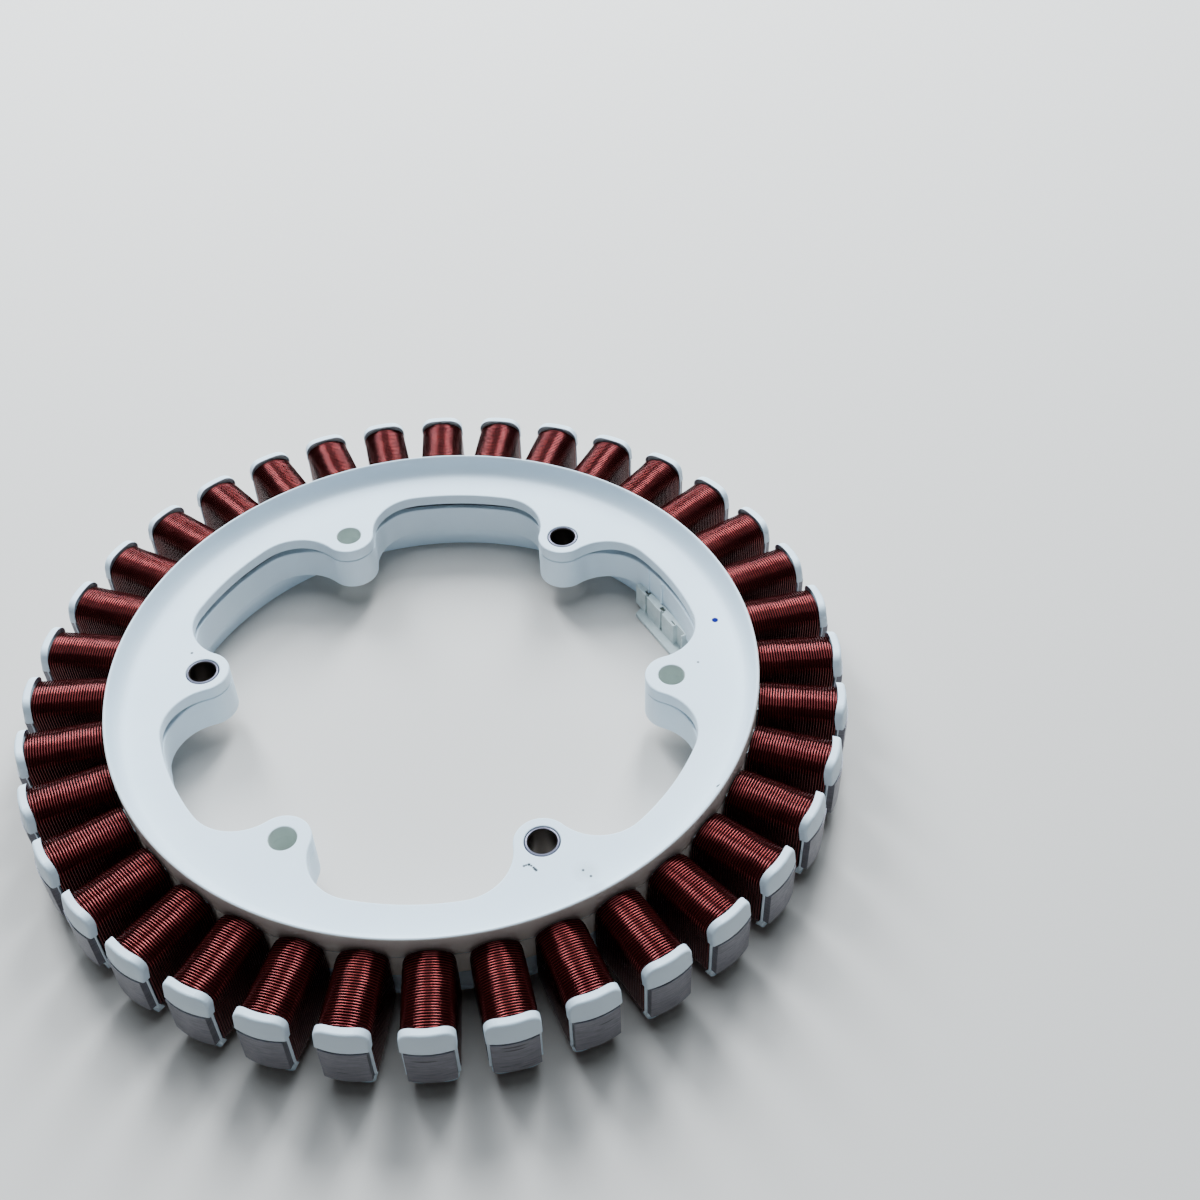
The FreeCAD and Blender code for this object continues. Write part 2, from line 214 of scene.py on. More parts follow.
def add_bump(tree, shader, height, distance, strength):
    """A bump from a height, in millimetres of depth."""
    node = tree.nodes.new("ShaderNodeBump")
    node.inputs["Strength"].default_value = strength
    node.inputs["Distance"].default_value = distance * MM
    tree.links.new(height, node.inputs["Height"])
    tree.links.new(node.outputs["Normal"], shader.inputs["Normal"])


def add_spot(tree, vector, place, radius, soft):
    """A mask that is one near a point and falls to nothing a little beyond the radius."""
    gap = tree.nodes.new("ShaderNodeVectorMath")
    gap.operation = "DISTANCE"
    tree.links.new(vector, gap.inputs[0])
    gap.inputs[1].default_value = place
    fall = tree.nodes.new("ShaderNodeMapRange")
    fall.inputs["From Min"].default_value = radius
    fall.inputs["From Max"].default_value = radius + soft
    fall.inputs["To Min"].default_value = 1.0
    fall.inputs["To Max"].default_value = 0.0
    tree.links.new(gap.outputs["Value"], fall.inputs["Value"])
    return fall.outputs["Result"]


sheet_steel, tree, shader, vector = new_material("sheet_steel", STEEL, 0.45)
shader.inputs["Metallic"].default_value = 0.35
rows = stretched(tree, vector, (0.12, 0.12, 1 / SHEET))
bands = add_noise(tree, rows, 1.6, 2.0)
color = add_ramp(tree, bands, [(0.35, STEEL), (0.68, STEEL_LIGHT)])
pressed = stretched(tree, vector, (1 / DASH_STRETCH, 1 / DASH_STRETCH, 1))
for x, y, z, reach in DASHES:
    place = (x / DASH_STRETCH, y / DASH_STRETCH, z)
    dash = add_spot(tree, pressed, place, reach / DASH_STRETCH, DASH_FADE)
    dash = add_math(tree, "MULTIPLY", dash, DASH_STRENGTH)
    color = add_mix(tree, dash, color, DASH_COLOR)
tree.links.new(color, shader.inputs["Base Color"])
patina = add_noise(tree, vector, 0.5, 5.0, 0.65)
tree.links.new(rough_ramp(tree, patina, 0.34, 0.52), shader.inputs["Roughness"])
add_bump(tree, shader, bands, 0.12, 0.6)

half_tooth = TOOTH_WIDTH / 2
half_shoe = SHOE_WIDTH / 2
pole_centre = POLE_R - POLE_FACE_R
swing = math.asin(half_shoe / POLE_FACE_R)
shoe_corner = pole_centre + POLE_FACE_R * math.cos(swing)
root = math.sqrt(YOKE_OUTER_R ** 2 - half_tooth ** 2)
gap_turn = PITCH - 2 * math.degrees(math.asin(half_tooth / YOKE_OUTER_R))
bm = bmesh.new()
vert = bm.verts.new((root, -half_tooth, STACK_BOTTOM))
for x, y in ((SHOE_BACK_R, -half_tooth), (SHOE_BACK_R, -half_shoe), (shoe_corner, -half_shoe)):
    vert = draw_line(bm, vert, (x, y, STACK_BOTTOM))
vert = spin_arc(bm, vert, (pole_centre, 0, STACK_BOTTOM), AXIS_Z, math.degrees(2 * swing), 12)
for x, y in ((SHOE_BACK_R, half_shoe), (SHOE_BACK_R, half_tooth), (root, half_tooth)):
    vert = draw_line(bm, vert, (x, y, STACK_BOTTOM))
spin_arc(bm, vert, (0, 0, STACK_BOTTOM), AXIS_Z, gap_turn, 3)
set_round(bm, bm.verts[:] + bm.edges[:], TEETH)
bmesh.ops.remove_doubles(bm, verts=bm.verts, dist=0.01)
fill_flat(bm, bm.edges[:] + ring_loop(bm, YOKE_INNER_R, STACK_BOTTOM), -1)
draw_out(bm, bm.faces[:], (0, 0, STACK_TOP - STACK_BOTTOM))
finish_piece("core_sheets", bm, sheet_steel, ["core_laminations"])

# The lower insulator: one pale moulding with the lobed bore wall and its six posts, the floor,
# the standing skirt, a lined channel and a foot cap for each tooth, and tabs for the wires.
# Wall and posts are drawn up from the lobed outline; floor, skirt and outer wall are turned.
DECK_TOP = 26.2
BORE_R = 88.0
WALL_R = 89.8
BOLT_CIRCLE_R = 76.1
BOSS_R = 8.6
BOSS_FILLET = 16.0
BOSS_BOTTOM = 9.2
PLAIN_BOSSES = (0, 2, 4)
BUSH_BOSSES = (1, 3, 5)
SCREW_HOLE_R = 4.25
BUSH_SEAT_R = 5.42
HOLE_STEPS = 48
SLIT_DROP = 1.35
SLIT_START = 7.0
SLIT_TAPER = 4.0
WALL_BOTTOM = 8.3
FLOOR_BOTTOM = 5.8
FLOOR_R = 104.2
FLOOR_EDGE = 0.3
FLOOR_STEP_R = 89.2
RING_TOP = 9.5
OUTER_WALL_R = 103.75
OUTER_WALL_BACK_R = 103.4
SKIRT_TOP = 6.0
SKIRT_INNER_R = 91.0
SKIRT_OUTER_R = 93.5
SKIRT_EDGE = 0.35
SKIRT_GAP = 19.8
HOUSING_ANGLE = 32.0
LINER = 0.8
SEAM = 0.05
PARTING = 14.7
FLANGE_R = 129.05
CROWN_FRONT = 132.35
CROWN_CUTS = (-6.6, -5.0, -3.3, -1.6, 0.0, 1.6, 3.3, 5.0, 6.6)
CAP_WIDTH = 15.3
CAP_EDGE = 0.75
CAP_BACK = 0.7
STRIP_STEP = 0.2
FOOT_BOTTOM = 2.0
FOOT_CORNER = 3.4
FOOT_LEAN = 2.4
FOOT_NARROWER = 0.7
FOOT_SET_BACK = 0.95
TAB_PLACE = (100.75, 0, 4.6)
TAB_SIZE = (1.5, 7.0, 4.0)
TAB_EDGE = 0.4
RIB_ANGLES = (38.5, 33.5)
RIB_SIZE = (1.2, 0.7, 10.2)
RIB_MIDDLE = 14.8
PALE = (0.72, 0.825, 0.905)
PALE_DEEP = (0.68, 0.79, 0.875)
HOLE_SHADE = (0.60, 0.66, 0.62)


def edges_of(geom):
    """The edges in a list of mixed geometry."""
    return [item for item in geom if isinstance(item, bmesh.types.BMEdge)]


def drawn_so_far(bm):
    """What a mesh holds now, to tell later what was added."""
    return set(bm.verts), set(bm.edges), set(bm.faces)


def parts_since(bm, before):
    """All that was added since drawn_so_far."""
    return [item for group, old in zip((bm.verts, bm.edges, bm.faces), before)
            for item in group if item not in old]


def add_box(bm, centre, size):
    """A box round its centre."""
    bmesh.ops.create_cube(bm, size=1.0, matrix=Matrix.Translation(centre)
                          @ Matrix.Diagonal((*size, 1.0)))


def break_edges(bm, edges, width, segments):
    """Rounds edges off."""
    bmesh.ops.bevel(bm, geom=edges, offset=width, offset_type="OFFSET", segments=segments,
                    profile=0.5, affect="EDGES", material=-1)


def draw_closed(bm, points):
    """Draws a closed outline of straight edges through the points."""
    vert = first = bm.verts.new(points[0])
    for point in points[1:] + points[:1]:
        vert = draw_line(bm, vert, point)
    bmesh.ops.weld_verts(bm, targetmap={vert: first})


def lobed_loop(bm, grow, height):
    """The bore's outline, set back into the moulding by grow: four tangent arcs to each boss."""
    fillet_r = BORE_R - BOSS_FILLET
    reach = BOSS_R + BOSS_FILLET
    spread = (fillet_r ** 2 + BOLT_CIRCLE_R ** 2 - reach ** 2) / (2 * fillet_r * BOLT_CIRCLE_R)
    half = math.degrees(math.acos(spread))
    lean = math.degrees(math.atan2(fillet_r * math.sin(math.radians(half)),
                                   BOLT_CIRCLE_R - fillet_r * math.cos(math.radians(half))))
    fillet_turn = lean + half
    before = set(bm.edges)
    first = vert = bm.verts.new(turned(-half) @ Vector((BORE_R + grow, 0, height)))
    for boss in range(6):
        turn = turned(60 * boss)
        low = turn @ turned(-half) @ Vector((fillet_r, 0, height))
        high = turn @ turned(half) @ Vector((fillet_r, 0, height))
        centre = turn @ Vector((BOLT_CIRCLE_R, 0, height))
        vert = spin_arc(bm, vert, low, AXIS_Z, fillet_turn, 14)
        vert = spin_arc(bm, vert, centre, AXIS_Z, -2 * (fillet_turn - half), 22)
        vert = spin_arc(bm, vert, high, AXIS_Z, fillet_turn, 14)
        vert = spin_arc(bm, vert, (0, 0, height), AXIS_Z, 60 - 2 * half, 24)
    bmesh.ops.weld_verts(bm, targetmap={vert: first})
    return [edge for edge in bm.edges if edge not in before]


def open_slits(loop, rise):
    """Moves a loop up or down between the bosses, not at them, with a short taper."""
    for vert in {end for edge in loop for end in edge.verts}:
        off_boss = abs((math.degrees(math.atan2(vert.co.y, vert.co.x)) + 30) % 60 - 30)
        vert.co.z += rise * min(max((off_boss - SLIT_START) / SLIT_TAPER, 0.0), 1.0)


def draw_on(bm, loop, radius, height, centre=(0, 0)):
    """Extrudes a circle of edges to a new radius and height, and gives the new circle."""
    made = bmesh.ops.extrude_edge_only(bm, edges=loop)["geom"]
    for vert in verts_of(made):
        arm = Vector((vert.co.x - centre[0], vert.co.y - centre[1]))
        arm = arm.normalized() * radius
        vert.co = Vector((centre[0] + arm.x, centre[1] + arm.y, height))
    return [item for item in edges_of(made)
            if all(len(end.link_faces) < 3 for end in item.verts) and item.is_boundary]


def boss_centre(boss):
    """Where a boss's hole is."""
    turn = math.radians(60 * boss)
    return BOLT_CIRCLE_R * math.cos(turn), BOLT_CIRCLE_R * math.sin(turn)


def hole_radius(boss):
    """A plain hole takes the screw itself, the others take a bush."""
    return SCREW_HOLE_R if boss in PLAIN_BOSSES else BUSH_SEAT_R


def turned_ring(bm, profile, start=0.0, sweep=360.0, steps=RING_STEPS):
    """Turns a closed profile, given as radius and height, round the axis."""
    whole = sweep > 359.9
    before = drawn_so_far(bm)
    draw_closed(bm, [turned(start) @ Vector((radius, 0, height)) for radius, height in profile])
    section = parts_since(bm, before)
    made = bmesh.ops.spin(bm, geom=section, cent=ORIGIN, axis=AXIS_Z, steps=steps,
                          angle=math.radians(sweep), use_merge=whole, use_duplicate=False)
    if not whole:
        for edges in [edges_of(group) for group in (section, made["geom_last"])]:
            bmesh.ops.contextual_create(bm, geom=edges)


def crowned(vert, bottom, top, lean):
    """Bends a cap's front to the crown of the pole, and leans it back towards its free edge."""
    if vert.co.x > FLANGE_R + CAP_BACK:
        depth = POLE_FACE_R - math.sqrt(POLE_FACE_R ** 2 - vert.co.y ** 2)
        rise = min(max((vert.co.z - bottom) / (top - bottom), 0.0), 1.0)
        vert.co.x -= depth + lean * rise


def tooth_cap(bm, crown, corner, shoe_edge, steps, lean):
    """A cap across one pole, and the strips behind the shoe that reach to the parting line."""
    up = 1 if crown > PARTING else -1
    half = CAP_WIDTH / 2 - (0.0 if up > 0 else FOOT_NARROWER)
    reach = CROWN_FRONT - FLANGE_R - (0.0 if up > 0 else FOOT_SET_BACK)
    before = drawn_so_far(bm)
    vert = first = bm.verts.new((FLANGE_R, half, shoe_edge))
    vert = draw_line(bm, vert, (FLANGE_R, half, crown - up * corner))
    vert = spin_arc(bm, vert, (FLANGE_R, half - corner, crown - up * corner), AXIS_X, 90 * up,
                    steps)
    vert = draw_line(bm, vert, (FLANGE_R, corner - half, crown))
    vert = spin_arc(bm, vert, (FLANGE_R, corner - half, crown - up * corner), AXIS_X, 90 * up,
                    steps)
    vert = draw_line(bm, vert, (FLANGE_R, -half, shoe_edge))
    vert = draw_line(bm, vert, (FLANGE_R, half, shoe_edge))
    bmesh.ops.weld_verts(bm, targetmap={vert: first})
    front = bmesh.ops.contextual_create(bm, geom=parts_since(bm, before))["faces"]
    draw_out(bm, front, (reach, 0, 0))
    outer = [item for item in edges_of(parts_since(bm, before))
             if abs(item.verts[0].co.x - item.verts[1].co.x) < 1e-4
             and all(abs(end.co.y) > half - 0.01 or up * (end.co.z - shoe_edge) > 0.5
                     for end in item.verts)]
    break_edges(bm, outer, CAP_EDGE, 4)
    for y in CROWN_CUTS:
        bmesh.ops.bisect_plane(bm, geom=parts_since(bm, before), dist=0.001,
                               plane_co=(0, y, 0), plane_no=(0, 1, 0))
    for item in verts_of(parts_since(bm, before)):
        crowned(item, shoe_edge, crown, lean)
    before = drawn_so_far(bm)
    strip_half = CAP_WIDTH / 2 - STRIP_STEP
    strip_end = PARTING + up * (SEAM + 0.01)
    thick = SHOE_BACK_R - SEAM - FLANGE_R
    for side in (-1, 1):
        add_box(bm, (FLANGE_R + thick / 2, side * (strip_half + half_tooth) / 2,
                     (strip_end + shoe_edge) / 2),
                (thick, strip_half - half_tooth, abs(strip_end - shoe_edge) + 0.02))
    outer = [item for item in edges_of(parts_since(bm, before))
             if all(abs(end.co.y) > strip_half - 0.01 for end in item.verts)
             and abs(item.verts[0].co.z - item.verts[1].co.z) > 1]
    break_edges(bm, outer, STRIP_STEP, 2)


def tooth_channel(bm, outside, inside, tooth_edge, start):
    """A lined channel over or under one tooth: a U whose open side is at the parting line."""
    outer = half_tooth + LINER
    inner = half_tooth + SEAM
    before = drawn_so_far(bm)
    draw_closed(bm, [(start, y, z) for y, z in (
        (outer, inside), (outer, outside), (-outer, outside), (-outer, inside), (-inner, inside),
        (-inner, tooth_edge), (inner, tooth_edge), (inner, inside))])
    section = bmesh.ops.contextual_create(bm, geom=parts_since(bm, before))["faces"]
    draw_out(bm, section, (FLANGE_R + 0.3 - start, 0, 0))


def new_moulding(name):
    """The pale plastic of both mouldings: a little cloudy, with a faint grain and satin grime."""
    material, tree, shader, vector = new_material(name, PALE, 0.34)
    color = add_ramp(tree, add_noise(tree, vector, 0.035, 4.0), [(0.35, PALE_DEEP), (0.65, PALE)])
    rough = rough_ramp(tree, add_noise(tree, vector, 0.9, 6.0, 0.7), 0.42, 0.54)
    shader.inputs["Specular IOR Level"].default_value = 0.22
    add_bump(tree, shader, add_noise(tree, vector, 2.2, 2.0), 0.02, 0.5)
    return material, tree, shader, vector, color, rough


def shade_holes(tree, level, color, radius):
    """The tone inside the plain holes, where little light falls."""
    for boss in PLAIN_BOSSES:
        bored = add_spot(tree, level, (*boss_centre(boss), 0), radius, 0.12)
        color = add_mix(tree, bored, color, HOLE_SHADE)
    return color


pale_moulding, tree, shader, vector, color, rough = new_moulding("pale_moulding")
color = shade_holes(tree, stretched(tree, vector, (1, 1, 0)), color, 4.4)
tree.links.new(color, shader.inputs["Base Color"])
tree.links.new(rough, shader.inputs["Roughness"])

bm = bmesh.new()
wall_edge = None
for inward, height in ((0.4, BOSS_BOTTOM), (0.1, BOSS_BOTTOM + 0.1), (0.0, BOSS_BOTTOM + 0.4),
                       (0.0, STACK_TOP - 0.3), (0.25, STACK_TOP - SEAM)):
    loop = lobed_loop(bm, inward, height)
    if height > DECK_TOP / 2:
        open_slits(loop, -SLIT_DROP)
    if wall_edge:
        bmesh.ops.bridge_loops(bm, edges=wall_edge + loop)
    else:
        wall_foot = loop
    wall_edge = loop
hole_tops = []
hole_feet = []
for boss in range(6):
    centre = boss_centre(boss)
    radius = hole_radius(boss)
    loop = ring_loop(bm, radius, BOSS_BOTTOM, centre, HOLE_STEPS)
    hole_feet += loop
    loop = draw_on(bm, loop, radius, STACK_TOP - 0.45, centre)
    hole_tops += draw_on(bm, loop, radius + 0.3, STACK_TOP - SEAM, centre)
wall_back = ring_loop(bm, WALL_R, BOSS_BOTTOM)
wall_back_top = draw_on(bm, wall_back, WALL_R, STACK_TOP - SEAM)
open_slits(wall_back_top, -SLIT_DROP)
fill_flat(bm, wall_edge + hole_tops + wall_back_top, 1)
fill_flat(bm, wall_foot + hole_feet + wall_back, -1)
turned_ring(bm, [(BORE_R, RING_TOP), (BORE_R, WALL_BOTTOM + FLOOR_EDGE),
                 (BORE_R + FLOOR_EDGE, WALL_BOTTOM), (FLOOR_STEP_R, WALL_BOTTOM),
                 (FLOOR_STEP_R, FLOOR_BOTTOM + FLOOR_EDGE),
                 (FLOOR_STEP_R + FLOOR_EDGE, FLOOR_BOTTOM),
                 (FLOOR_R - FLOOR_EDGE, FLOOR_BOTTOM), (FLOOR_R, FLOOR_BOTTOM + FLOOR_EDGE),
                 (FLOOR_R, STACK_BOTTOM - FLOOR_EDGE), (FLOOR_R - FLOOR_EDGE, STACK_BOTTOM),
                 (WALL_R, STACK_BOTTOM), (WALL_R, RING_TOP)])
turned_ring(bm, [(SKIRT_INNER_R, SKIRT_TOP), (SKIRT_INNER_R, SKIRT_EDGE),
                 (SKIRT_INNER_R + SKIRT_EDGE, 0.0), (SKIRT_OUTER_R - SKIRT_EDGE, 0.0),
                 (SKIRT_OUTER_R, SKIRT_EDGE), (SKIRT_OUTER_R, SKIRT_TOP)],
            HOUSING_ANGLE + SKIRT_GAP / 2, 360 - SKIRT_GAP, 200)
turned_ring(bm, [(OUTER_WALL_BACK_R, 7.5), (OUTER_WALL_R, 7.5),
                 (OUTER_WALL_R, PARTING - SEAM), (OUTER_WALL_BACK_R, PARTING - SEAM)])
before = drawn_so_far(bm)
tooth_cap(bm, FOOT_BOTTOM, FOOT_CORNER, STACK_BOTTOM - SEAM - 0.01, 6, FOOT_LEAN)
tooth_channel(bm, FLOOR_BOTTOM, PARTING - SEAM, STACK_BOTTOM - SEAM, 103.0)
set_round(bm, parts_since(bm, before), TEETH)
before = drawn_so_far(bm)
add_box(bm, TAB_PLACE, TAB_SIZE)
low_edges = [edge for edge in edges_of(parts_since(bm, before))
             if edge.verts[0].co.z + edge.verts[1].co.z < 10]
break_edges(bm, low_edges, TAB_EDGE, 3)
set_round(bm, parts_since(bm, before), TEETH // 2, 2 * PITCH)
for angle in RIB_ANGLES:
    before = drawn_so_far(bm)
    add_box(bm, (BORE_R, 0, RIB_MIDDLE), RIB_SIZE)
    bmesh.ops.rotate(bm, cent=ORIGIN, matrix=turned(angle), verts=verts_of(parts_since(bm, before)))
finish_piece("lower_moulding", bm, pale_moulding, ["lower_insulator"])

# The upper insulator: the deck with the lobed bore, the rim that rises in a hollow slope to a
# thin lip, and a saddle and a leaning cap for each tooth. It is one pale satin moulding with a
# few marks, clipped down over the teeth until it meets the lower one at the parting line.
RIM_R = 103.8
BORE_EDGE = 0.55
HOLE_EDGE = 0.35
CAP_TOP = 29.3
CAP_CORNER = 3.8
CAP_LEAN = 1.2
SADDLE_TOP = 25.6
SLIT_RISE = 0.5
SMEAR_COLOR = (0.30, 0.32, 0.33)
SPECK_COLOR = (0.03, 0.035, 0.04)
INK_COLOR = (0.001, 0.002, 0.14)
# A painted reflection: the warm tint that the red coils throw on the rim's outer wall.
PAINTED_COIL_REFLECTION = (1.0, 0.76, 0.56)
MARKED_ROUGH = (0.95, 0.95, 0.95)
# Each smear: where it lies, its radius and how far it fades. The specks all fade alike.
SMEARS = ((51.3, -76.5, 0.6, 4.0), (54.5, -82.6, 0.4, 3.0), (56.2, -84.2, 0.3, 2.5))
SPECKS = ((84.7, 5.6, 0.2), (-81.4, 8.2, 0.25), (89.6, -46.2, 0.35), (33.3, -74.7, 0.2),
          (33.9, -74.4, 0.15), (34.7, -74.2, 0.3), (35.4, -74.6, 0.15), (36.1, -75.2, 0.2),
          (36.5, -75.7, 0.25), (36.9, -76.1, 0.25), (50.3, -75.9, 0.2), (52.6, -77.9, 0.2))
SPECK_FADE = 0.35


def round_edge(width, steps):
    """The points of a quarter round: how far in and how far down each one lies."""
    turns = [math.pi / 2 * step / steps for step in range(steps + 1)]
    return [(width * (1 - math.cos(turn)), width * (1 - math.sin(turn))) for turn in turns]


deck_moulding, tree, shader, vector, color, rough = new_moulding("deck_moulding")
level = stretched(tree, vector, (1, 1, 0))
smear = add_math(tree, "MULTIPLY", add_noise(tree, vector, 0.7, 6.0, 0.75), 0.55)
for x, y, radius, fade in SMEARS:
    mask = add_math(tree, "MULTIPLY", add_spot(tree, level, (x, y, 0), radius, fade), smear)
    color = add_mix(tree, mask, color, SMEAR_COLOR)
ink = add_spot(tree, level, (90.7, 24.8, 0), 1.0, 0.15)
marked = ink
for x, y, radius in SPECKS:
    speck = add_spot(tree, level, (x, y, 0), radius, SPECK_FADE)
    color = add_mix(tree, speck, color, SPECK_COLOR)
    marked = add_math(tree, "MAXIMUM", marked, speck)
color = add_mix(tree, ink, color, INK_COLOR)
# Painted reflection: the rim's outer wall is tinted warm for the red light the coils throw on it.
from_axis = tree.nodes.new("ShaderNodeVectorMath")
from_axis.operation = "LENGTH"
tree.links.new(level, from_axis.inputs[0])
outside = add_math(tree, "GREATER_THAN", from_axis.outputs["Value"], 103.62)
before_caps = add_math(tree, "LESS_THAN", from_axis.outputs["Value"], 103.9)
painted_reflection_band = add_math(tree, "MULTIPLY", outside, before_caps)
color = add_mix(tree, add_math(tree, "MULTIPLY", painted_reflection_band, 0.55), color, PAINTED_COIL_REFLECTION)
tree.links.new(shade_holes(tree, level, color, 4.3), shader.inputs["Base Color"])
tree.links.new(add_mix(tree, marked, rough, MARKED_ROUGH), shader.inputs["Roughness"])

bm = bmesh.new()
bore_edge = None
for inward, height in [(0.35, STACK_TOP), (0.0, STACK_TOP + 0.35)] + \
        [(inward, DECK_TOP - drop) for inward, drop in round_edge(BORE_EDGE, 4)]:
    loop = lobed_loop(bm, inward, height)
    if height < STACK_TOP + 1:
        open_slits(loop, SLIT_RISE)
    if bore_edge:
        bmesh.ops.bridge_loops(bm, edges=bore_edge + loop)
    else:
        bore_foot = loop
    bore_edge = loop
hole_edges = []
hole_feet = []
for boss in range(6):
    centre = boss_centre(boss)
    radius = hole_radius(boss)
    loop = ring_loop(bm, radius, STACK_TOP, centre, HOLE_STEPS)
    hole_feet += loop
    for inward, drop in round_edge(HOLE_EDGE, 3):
        loop = draw_on(bm, loop, radius + inward, DECK_TOP - drop, centre)
    hole_edges += loop
rim = [(98.2, DECK_TOP), (98.7, 26.24), (99.4, 26.5), (100.1, 27.0), (100.8, 27.75),
       (101.5, 28.8), (102.1, 30.1), (102.55, 31.4), (102.8, 32.1), (103.0, 32.38),
       (103.2, 32.5), (103.5, 32.44), (103.7, 32.28), (RIM_R, 32.0), (RIM_R, 24.3),
       (103.75, 24.05), (103.6, 23.95), (103.3, 23.9), (103.3, 23.75), (103.7, 23.7),
       (OUTER_WALL_R, 23.6), (OUTER_WALL_R, PARTING + SEAM), (103.45, PARTING + SEAM),
       (103.45, STACK_TOP)]
loop = ring_loop(bm, rim[0][0], rim[0][1])
fill_flat(bm, bore_edge + hole_edges + loop, 1)
for radius, height in rim[1:]:
    loop = draw_on(bm, loop, radius, height)
fill_flat(bm, bore_foot + hole_feet + loop, -1)
before = drawn_so_far(bm)
tooth_cap(bm, CAP_TOP, CAP_CORNER, STACK_TOP + SEAM, 8, CAP_LEAN)
tooth_channel(bm, SADDLE_TOP, PARTING + SEAM, STACK_TOP + SEAM, 102.8)
set_round(bm, parts_since(bm, before), TEETH)
finish_piece("upper_moulding", bm, deck_moulding, ["upper_insulator"])

# The steel bushes: three plain turned tubes with broken edges, set into the bosses between the
# moulded holes, so that the mounting screws clamp on steel.
BUSH_R = 5.3
BUSH_PROFILE = [(SCREW_HOLE_R, 9.5), (4.55, 9.2), (5.05, 9.2), (BUSH_R, 9.45), (BUSH_R, 25.7),
                (5.0, 26.1), (4.6, DECK_TOP), (SCREW_HOLE_R, 25.85)]
bright_steel, tree, shader, vector = new_material("turned_steel", (0.17, 0.165, 0.20), 0.4)
shader.inputs["Metallic"].default_value = 1.0
turning = add_noise(tree, stretched(tree, vector, (0.6, 0.6, 3.0)), 2.0, 4.0)
tree.links.new(rough_ramp(tree, turning, 0.34, 0.5), shader.inputs["Roughness"])
# Painted shade: the bores of the bushes are darkened to a dull brown, for the shade inside them.
level = stretched(tree, vector, (1, 1, 0))
bores = [add_spot(tree, level, (*boss_centre(boss), 0), 4.5, 0.15) for boss in BUSH_BOSSES]
bore_shade = add_math(tree, "MAXIMUM", add_math(tree, "MAXIMUM", bores[0], bores[1]), bores[2])
tree.links.new(add_mix(tree, bore_shade, (0.12, 0.115, 0.15), (0.085, 0.070, 0.062)),
               shader.inputs["Base Color"])
bm = bmesh.new()
for boss in BUSH_BOSSES:
    centre = boss_centre(boss)
    loop = ring_loop(bm, BUSH_PROFILE[0][0], BUSH_PROFILE[0][1], centre, HOLE_STEPS)
    for radius, height in BUSH_PROFILE[1:] + BUSH_PROFILE[:1]:
        loop = draw_on(bm, loop, radius, height, centre)
bmesh.ops.remove_doubles(bm, verts=bm.verts, dist=0.001)
finish_piece("bushes", bm, bright_steel, ["mounting_bushes"])

# The coils: one on each tooth, of enamelled copper wire laid in even rows over the saddle.
# Each is a sleeve drawn along the tooth, pressed into a row for each turn, with painted shade
# darkening the valleys; the rows wander and bulge a little, as a machine lays them.
COIL_START = 104.0
COIL_END = 128.7
COIL_HALF = 7.5
COIL_TOP = 28.4
COIL_BOTTOM = 3.1
COIL_ROWS = 29
ROW_LOOPS = 6
ROW_DEPTH = 0.36
# The section has straight sides, a tight shoulder at each corner and a wide crown between them.
SHOULDER_Y = 4.0
SHOULDER_DROP = 4.66
SHOULDER_TURN = 57.77
CROWN_R = 11
CROWN_TURN = 64.46
# How much smaller the first and last turns are, and over what length.
START_TAPER = (0.6, 2.4)
END_TAPER = (0.4, 1.2)
# What is left of the closed ends' size, across and upright.
END_SHRINK = (0.70, 0.80)
WANDER = 0.07
BULGE = 0.010
winding, tree, shader, vector = new_material("enamelled_wire", (0.11, 0.013, 0.013), 0.17)
shader.inputs["Metallic"].default_value = 0.85
# Painted shade: the valley attribute darkens the base colour between the rows of wire, where shade
# falls.
valley = tree.nodes.new("ShaderNodeAttribute")
valley.attribute_name = "valley"
tint = add_noise(tree, vector, 0.18, 3.0)
color = add_ramp(tree, tint, [(0.3, (0.078, 0.0082, 0.0082)), (0.7, (0.132, 0.0168, 0.016))])
color = add_mix(tree, valley.outputs["Fac"], color, (0.009, 0.003, 0.004))
tree.links.new(color, shader.inputs["Base Color"])

bm = bmesh.new()
top_corner = COIL_TOP - SHOULDER_DROP
foot_corner = COIL_BOTTOM + SHOULDER_DROP
vert = first = bm.verts.new((COIL_START, COIL_HALF, top_corner))
for side, end, corner, far_corner, shoulder_steps, crown_steps in (
        (1, COIL_TOP, top_corner, foot_corner, 6, 10),
        (-1, COIL_BOTTOM, foot_corner, top_corner, 4, 6)):
    vert = spin_arc(bm, vert, (COIL_START, side * SHOULDER_Y, corner), AXIS_X, SHOULDER_TURN,
                    shoulder_steps)
    vert = spin_arc(bm, vert, (COIL_START, 0, end - side * CROWN_R), AXIS_X, CROWN_TURN,
                    crown_steps)
    vert = spin_arc(bm, vert, (COIL_START, -side * SHOULDER_Y, corner), AXIS_X, SHOULDER_TURN,
                    shoulder_steps)
    for share in (1 / 3, 2 / 3, 1):
        vert = draw_line(bm, vert, (COIL_START, -side * COIL_HALF,
                                    corner + (far_corner - corner) * share))
bmesh.ops.weld_verts(bm, targetmap={vert: first})
row_pitch = (COIL_END - COIL_START) / COIL_ROWS
bmesh.ops.spin(bm, geom=bm.verts[:] + bm.edges[:], cent=ORIGIN, axis=AXIS_X, angle=0.0,
               dvec=(row_pitch / ROW_LOOPS, 0, 0), steps=COIL_ROWS * ROW_LOOPS,
               use_duplicate=False, use_merge=False)
middle_z = (COIL_TOP + COIL_BOTTOM) / 2
half_z = (COIL_TOP - COIL_BOTTOM) / 2
wire_r = row_pitch / 2
# How far into its valley each point lies, which sets the painted shade.
valley_shade_layer = bm.verts.layers.float.new("valley")
